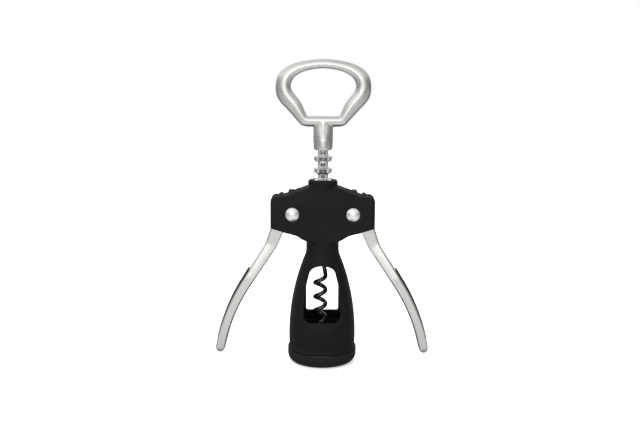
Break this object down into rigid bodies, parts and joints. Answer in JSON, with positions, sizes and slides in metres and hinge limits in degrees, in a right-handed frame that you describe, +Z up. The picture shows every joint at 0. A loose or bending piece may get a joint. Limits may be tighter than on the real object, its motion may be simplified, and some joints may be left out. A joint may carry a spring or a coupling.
{
  "type": "wing corkscrew",
  "caption": "Wing corkscrew: a bell-shaped body stands on the bottle while two geared levers draw the worm up on a ringed rack; its loop handle also lifts crown caps",
  "frame": {"origin": "the middle of the resting face of the base ring, on the axis of the worm", "axes": "+Z up along the worm and rack, +X towards the right-hand lever as seen from the front, -Y out of the front face"},
  "size_m": [0.1306, 0.042, 0.1842],
  "materials": {
    "soft_touch_black": "fine matte soft-touch coat",
    "base_black": "slightly glossier moulded black",
    "satin_metal": "satin, fine grained",
    "polished_metal": "polished",
    "black_gear": "blackened",
    "worm_coat": "smooth glossy non-stick black",
    "nylon": "plain",
    "bush_black": "plain",
    "bush_bronze": "plain turned",
    "pad_black": "smooth matte"
  },
  "bodies": {
    "frame": {"body_shell": "soft_touch_black", "base_ring": "base_black", "collar_bush": "bush_black", "left_pivot_pin": "polished_metal", "right_pivot_pin": "polished_metal", "left_pivot_stud": "polished_metal", "right_pivot_stud": "polished_metal", "left_hub_washers": "nylon", "right_hub_washers": "nylon"},
    "left_lever": {"left_lever_arm": "satin_metal", "left_gear_sector": "black_gear", "left_hub_bush": "bush_bronze", "left_lever_rivets": "satin_metal", "left_thumb_pad": "pad_black"},
    "right_lever": {"right_lever_arm": "satin_metal", "right_gear_sector": "black_gear", "right_hub_bush": "bush_bronze", "right_lever_rivets": "satin_metal", "right_thumb_pad": "pad_black"},
    "rack": {"rack_sleeve": "polished_metal"},
    "screw": {"handle": "satin_metal", "thrust_washer": "nylon", "spindle": "satin_metal", "cross_pin": "satin_metal", "worm_ferrule": "satin_metal", "worm": "worm_coat"}
  },
  "joints": [
    {"name": "rack_slide", "type": "slide", "parent": "frame", "child": "rack", "axis": [0, 0, 1], "range_m": [-0.029, 0.0058]},
    {"name": "handle_turn", "type": "hinge", "parent": "rack", "child": "screw", "pos_m": [0, 0, 0.13], "axis": [0, 0, 1], "continuous": true},
    {"name": "right_lever_pivot", "type": "hinge", "parent": "frame", "child": "right_lever", "pos_m": [0.0182, 0, 0.0923], "axis": [0, 1, 0], "range_deg": [-122.6, 24.6]},
    {"name": "left_lever_pivot", "type": "hinge", "parent": "frame", "child": "left_lever", "pos_m": [-0.0182, 0, 0.0923], "axis": [0, 1, 0], "range_deg": [-24.6, 122.6]}
  ],
  "couplings": [
    {"joint": "right_lever_pivot", "follows": "rack_slide", "rad_per_m": 73.746},
    {"joint": "left_lever_pivot", "follows": "rack_slide", "rad_per_m": -73.746}
  ]
}
